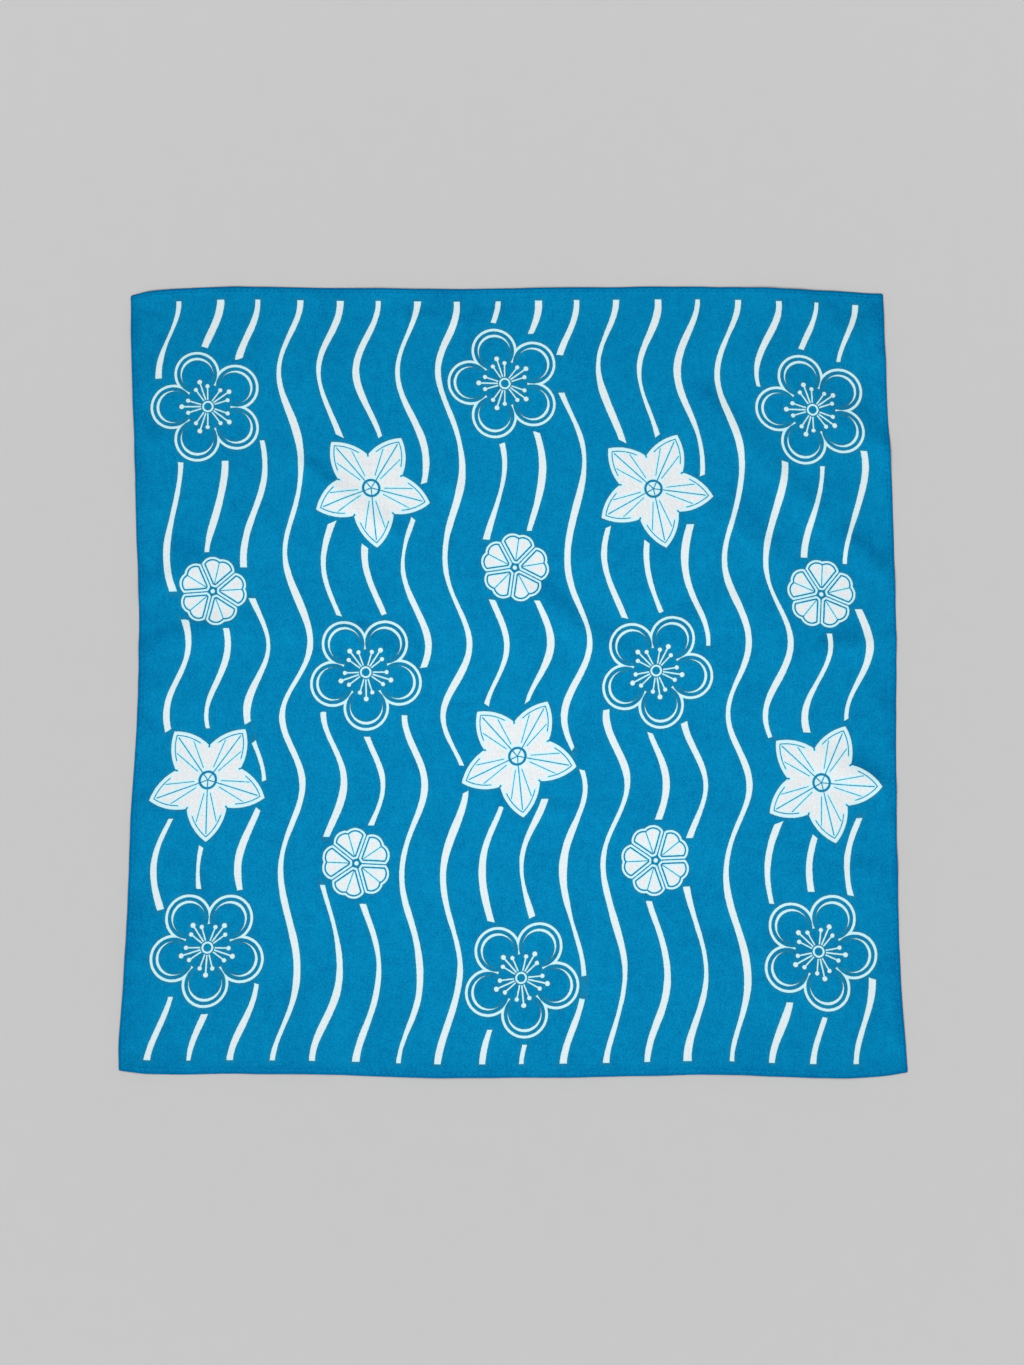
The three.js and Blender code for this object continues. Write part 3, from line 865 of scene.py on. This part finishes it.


def cotton():
    net = Net("printed_cotton")
    tree = net.tree
    out = net.node("ShaderNodeOutputMaterial")
    shader = net.node("ShaderNodeBsdfPrincipled")
    tree.links.new(shader.outputs[0], out.inputs[0])

    uv = net.node("ShaderNodeUVMap", uv_map="flat")
    split = net.node("ShaderNodeSeparateXYZ")
    tree.links.new(uv.outputs[0], split.inputs[0])
    x = Num(net, split.outputs[0]) * 1000.0
    y = Num(net, split.outputs[1]) * 1000.0
    side = net.node("ShaderNodeAttribute", attribute_name="face_side")
    is_face = Num(net, side.outputs["Fac"])
    # the painted light and shade of the ripples, from the mesh
    ripple_shade_node = net.node("ShaderNodeAttribute", attribute_name="painted_ripple_shade")
    shade_from_ripples = Num(net, ripple_shade_node.outputs["Fac"])

    # distance in from the folded edge, and along it
    in_x = FLAT_WIDTH / 2 - abs(x)
    in_y = FLAT_LENGTH / 2 - abs(y)
    inward = in_x.least(in_y)
    hem_back = 1.0 - net.range(inward, HEM_WIDTH - 0.1, HEM_WIDTH + 0.15)

    # plain weave: warp up the cloth, weft across it, over and under
    warp, weft = 0.36, 0.40
    sx, sy = (x * (math.pi / warp)).sin(), (y * (math.pi / weft)).sin()
    over = sx * sy
    weave = abs(sx) * (0.5 + over * 0.5) + abs(sy) * (0.5 - over * 0.5)
    weave_gap_shade = weave - 0.637  # painted shade: the gaps between the yarns are deeper and the yarns' crowns paler

    # uneven yarns: long narrow streaks both ways, a few thick ones
    up = net.noise(x * 2.70, y * 0.050 + 30.0, 1.0, 0.6) + net.noise(x * 0.85, y * 0.040 + 10.0, 1.0, 0.6) * 0.20 - 0.6
    across = net.noise(x * 0.045 + 90.0, y * 2.45, 1.0, 0.6) + net.noise(x * 0.038 + 50.0, y * 0.80, 1.0, 0.6) * 0.20 - 0.6
    yarns = up * 0.85 + across * 0.55
    slub = net.range(net.noise(x * 0.055 + 21.0, y * 1.5, 0.0), 0.66, 0.80) \
        + net.range(net.noise(x * 1.6, y * 0.05 + 33.0, 0.0), 0.67, 0.80)
    cloud = net.noise(x * 0.030, y * 0.030, 3.0, 0.6) - 0.5
    speck = net.noise(x * 0.72 + 11.0, y * 0.72, 3.0, 0.60) - 0.5
    # short lengths of paler and deeper yarn
    lengths = net.noise(x * 2.70 + 61.0, y * 0.62, 1.0) + net.noise(x * 0.62, y * 2.45 + 83.0, 1.0) - 1.0
    fibre = net.range(net.noise(x * 1.9 + 40.0, y * 1.9, 1.0), 0.60, 0.78) * 0.30
    patch = net.noise(x * 0.17, y * 0.17 + 70.0, 2.0, 0.6) - 0.5

    ink = print_distance(net, x, y) - INK_SPREAD
    printed = net.range(ink + (weave - 0.6) * 0.12, 0.14, -0.14)
    rim = net.range(ink, -2.4, -0.4)
    rim_edge = net.range(ink, -1.35, -0.2)
    beside = net.range(ink, 2.3, 0.3)

    # painted shade in the needle holes at every stitch, along the folded edge and at the step down from the hem, and a
    # darkening over the hem
    seam_x, seam_y = abs(in_x - SEAM_IN), abs(in_y - SEAM_IN)
    count_x = STITCHES["far"] + y.under(0.0) * float(STITCHES["near"] - STITCHES["far"])
    count_y = STITCHES["left"] + x.over(0.0) * float(STITCHES["right"] - STITCHES["left"])
    beat_x = ((x / SEAM_RUN_X + 0.5) * count_x * (2 * math.pi)).cos()
    beat_y = ((y / SEAM_RUN_Y + 0.5) * count_y * (2 * math.pi)).cos()
    needle_holes_dent_and_shade = (net.range(seam_y, 0.95, 0.15) * net.range(beat_x, 0.25, 0.95)).most(
        net.range(seam_x, 0.95, 0.15) * net.range(beat_y, 0.25, 0.95))
    fold_edge_shade = 1.0 - net.range(inward, 0.45, 2.5)
    hem_step_shade = 1.0 - net.range(abs(inward - (HEM_WIDTH - 0.2)), 0.2, 1.1)
    thick = 1.0 - net.range(inward, 3.0, 10.0)  # darker over the hem, fading out by 10 mm in
    # less painted shade at the far hem, where the key light already leaves it darker; deeper painted shade in the holes
    # there and at the sides
    far_hem = net.range(y, FLAT_LENGTH / 2 - 9.0, FLAT_LENGTH / 2 - 6.0) * net.range(inward, 0.9, 2.0)
    side_hem = net.range(abs(x), FLAT_WIDTH / 2 - 9.0, FLAT_WIDTH / 2 - 6.0)
    painted_shade_at_hem = (fold_edge_shade * FOLD_EDGE_PAINTED_SHADE + hem_step_shade * 0.05 + thick * 0.08) * (1.0 - far_hem * 0.70) \
        + needle_holes_dent_and_shade * (0.16 + far_hem * 0.11 + side_hem * 0.03)

    # the blue's tone: yarn, speck and patch, less the painted shade at the hem, plus the painted shade of the weave and
    # the ripples
    shade = net.math("ADD", yarns * 0.38 + speck * 0.92 + lengths * 0.70 + patch * 0.46, cloud * 0.38 + 0.5 + weave_gap_shade * 0.40 - slub * 0.06 - painted_shade_at_hem + shade_from_ripples, clamp=True)
    ground = net.mix(fibre, net.mix(shade, GROUND_DEEP, GROUND), BARE_FIBRE)
    white_shade = net.math("ADD", yarns * 0.50 + speck * 0.80 + lengths * 0.60, patch * 0.16 + 0.60 + weave_gap_shade * 0.30 - slub * 0.12, clamp=True)
    white = net.mix(rim, net.mix(white_shade, INK_DULL, INK), net.mix(white_shade, RIM_DULL, RIM))
    white = net.mix(rim_edge * 0.80, white, RIM_EDGE)
    face = net.mix(beside, net.mix(beside, ground, BESIDE_INK, "MULTIPLY"), BESIDE_INK_RED, "ADD")
    face = net.mix(printed, face, white)

    # the back: the print strikes through pale and soft
    through = net.range(ink + (speck * 1.6), 1.3, -1.1)
    back = net.mix(shade, BACK_DEEP, BACK_GROUND)
    back = net.mix(through * 0.85, back, BACK_PALE)
    back = net.mix(hem_back, back, ground)
    colour = net.mix(is_face, back, face)
    tree.links.new(colour, shader.inputs["Base Color"])

    rough = net.math("ADD", 0.86 + (speck * 0.10), yarns * 0.06 - printed * 0.07, clamp=True)
    tree.links.new(rough.socket, shader.inputs["Roughness"])
    shader.inputs["Specular IOR Level"].default_value = 0.012
    shader.inputs["Sheen Weight"].default_value = 0.03
    shader.inputs["Sheen Roughness"].default_value = 0.45
    shader.inputs["Sheen Tint"].default_value = (0.04, 0.60, 0.90, 1.0)

    height = weave * 0.020 + yarns * 0.035 + lengths * 0.020 + speck * 0.018 - needle_holes_dent_and_shade * 0.09
    bump = net.node("ShaderNodeBump")
    bump.inputs["Strength"].default_value = 0.9
    bump.inputs["Distance"].default_value = 0.001
    tree.links.new(height.socket, bump.inputs["Height"])
    tree.links.new(bump.outputs[0], shader.inputs["Normal"])
    return net.material


def thread():
    net = Net("sewing_thread")
    tree = net.tree
    out = net.node("ShaderNodeOutputMaterial")
    shader = net.node("ShaderNodeBsdfPrincipled")
    tree.links.new(shader.outputs[0], out.inputs[0])
    place = net.node("ShaderNodeTexCoord")
    split = net.node("ShaderNodeSeparateXYZ")
    tree.links.new(place.outputs["Object"], split.inputs[0])
    x, y, z = (Num(net, split.outputs[i]) * 1000.0 for i in range(3))
    twist = ((x + y) * 17.0 + z * 9.0).sin()
    patch = net.noise(x * 0.35, y * 0.35 + z) - 0.5
    shade = net.math("ADD", twist * 0.22 + 0.5, patch * 0.9, clamp=True)
    colour = net.mix(shade, (0.0005, 0.215, 0.510), (0.0020, 0.355, 0.745))
    tree.links.new(colour, shader.inputs["Base Color"])
    rough = net.math("ADD", 0.55, patch * 0.25)
    tree.links.new(rough.socket, shader.inputs["Roughness"])
    shader.inputs["Specular IOR Level"].default_value = 0.10
    bump = net.node("ShaderNodeBump")
    bump.inputs["Strength"].default_value = 0.6
    bump.inputs["Distance"].default_value = 0.0001
    tree.links.new((twist * 0.5).socket, bump.inputs["Height"])
    tree.links.new(bump.outputs[0], shader.inputs["Normal"])
    return net.material


def pale_floor():
    """Grey, and just enough lighter away from the soft box to look even."""
    net = Net("pale_floor")
    tree = net.tree
    out = net.node("ShaderNodeOutputMaterial")
    shader = net.node("ShaderNodeBsdfPrincipled")
    tree.links.new(shader.outputs[0], out.inputs[0])
    place = net.node("ShaderNodeTexCoord")
    split = net.node("ShaderNodeSeparateXYZ")
    tree.links.new(place.outputs["Object"], split.inputs[0])
    x = Num(net, split.outputs[0]) - SOFT_BOX[0]
    y = Num(net, split.outputs[1]) - SOFT_BOX[1]
    rr = x * x + y * y
    high, wide = SOFT_BOX[2] ** 2, SOFT_BOX_RADIUS ** 2
    reach = rr + (high + wide)
    seen = 1.0 - (rr + (high - wide)) / (reach * reach - rr * (4 * wide)).sqrt()  # of a level disk, from below
    light = seen * (0.5 * high / wide * SOFT_BOX_SHARE) + (1.0 - SOFT_BOX_SHARE)
    cloud = net.noise(x * 60.0, y * 60.0) - 0.5
    grey = (FLOOR_GREY + cloud * 0.010) / light
    tree.links.new(net.vector(grey, grey, grey), shader.inputs["Base Color"])
    shader.inputs["Roughness"].default_value = 0.9
    shader.inputs["Specular IOR Level"].default_value = 0.0
    return net.material


# ---------------------------------------------------------------- camera, floor and light
CAMERA_AWAY, CAMERA_ELEVATION, CAMERA_LENS = 1.5, 82.4, 58.81
CAMERA_AIM = (1.4, -6.2)  # mm, on the plan's own axes
SOFT_BOX, SOFT_BOX_RADIUS, SOFT_BOX_SHARE = (0.0, -0.06, 0.8), 0.25, 0.52  # metres, and its share of the light
FLOOR_GREY = 0.527
WALLS, CEILING = 0.60, 0.17  # light that comes from them


def make_camera():
    cam = bpy.data.objects.new("camera", bpy.data.cameras.new("camera"))
    bpy.context.scene.collection.objects.link(cam)
    e = math.radians(CAMERA_ELEVATION)
    aim = Vector((mm(CAMERA_AIM[0] - MIDDLE[0]), mm(CAMERA_AIM[1] - MIDDLE[1]), 0.0))
    back = Vector((0.0, -math.cos(e), math.sin(e)))
    cam.location = aim + back * CAMERA_AWAY
    cam.rotation_mode = "QUATERNION"
    cam.rotation_quaternion = (-back).to_track_quat("-Z", "Y")
    cam.data.lens = CAMERA_LENS
    cam.data.sensor_width = 36.0
    cam.data.clip_start, cam.data.clip_end = 0.05, 60.0
    bpy.context.scene.camera = cam


def make_stage():
    half = 8.0
    floor = mesh_object(
        "floor",
        [(-half, -half, -0.00005), (half, -half, -0.00005), (half, half, -0.00005), (-half, half, -0.00005)],
        [(0, 1, 2, 3)],
        False,
    )
    floor.data.materials.append(pale_floor())

    # pale walls all round, a darker ceiling
    world = bpy.data.worlds.new("room")
    world.use_nodes = True
    tree = world.node_tree
    back = tree.nodes["Background"]
    place = tree.nodes.new("ShaderNodeTexCoord")
    split = tree.nodes.new("ShaderNodeSeparateXYZ")
    rise = tree.nodes.new("ShaderNodeMapRange")
    rise.interpolation_type = "SMOOTHSTEP"
    for name, value in (("From Min", 0.0), ("From Max", 0.45), ("To Min", WALLS), ("To Max", CEILING)):
        rise.inputs[name].default_value = value
    tree.links.new(place.outputs["Generated"], split.inputs[0])
    tree.links.new(split.outputs[2], rise.inputs["Value"])
    tree.links.new(rise.outputs[0], back.inputs[0])
    bpy.context.scene.world = world

    def sun(name, azimuth, elevation, share, soft):
        """share: what the light adds on a level white surface."""
        data = bpy.data.lights.new(name, "SUN")
        e, a = math.radians(elevation), math.radians(azimuth)
        data.energy = share * math.pi / math.sin(e)
        data.angle = math.radians(soft)
        lamp = bpy.data.objects.new(name, data)
        way = Vector((math.sin(a) * math.cos(e), -math.cos(a) * math.cos(e), math.sin(e)))
        lamp.rotation_mode = "QUATERNION"
        lamp.rotation_quaternion = way.to_track_quat("Z", "Y")
        lamp.location = way * 3.0
        bpy.context.scene.collection.objects.link(lamp)

    sun("key", -18.0, 56.0, 0.36, 30.0)

    # a soft box over the cloth; a level white surface under it gets SOFT_BOX_SHARE
    data = bpy.data.lights.new("soft_box", "AREA")
    data.shape, data.size = "DISK", 2 * SOFT_BOX_RADIUS
    data.energy = SOFT_BOX_SHARE * math.pi * math.pi * SOFT_BOX[2] ** 2
    lamp = bpy.data.objects.new("soft_box", data)
    lamp.location = SOFT_BOX
    lamp.visible_camera = False
    bpy.context.scene.collection.objects.link(lamp)


# ---------------------------------------------------------------- build
make_camera()
make_stage()

cloth = make_cloth()
cloth.data.materials.append(cotton())
stitching = make_stitches()
stitching.data.materials.append(thread())

for piece in (cloth, stitching):
    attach(piece, "root")
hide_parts("cloth")
mm(FLAT_WIDTH + 2 * HEM_ALLOWANCE)
mm(FLAT_LENGTH + 2 * HEM_ALLOWANCE)

scene = bpy.context.scene
scene.view_settings.view_transform = "Standard"
scene.view_settings.look = "None"
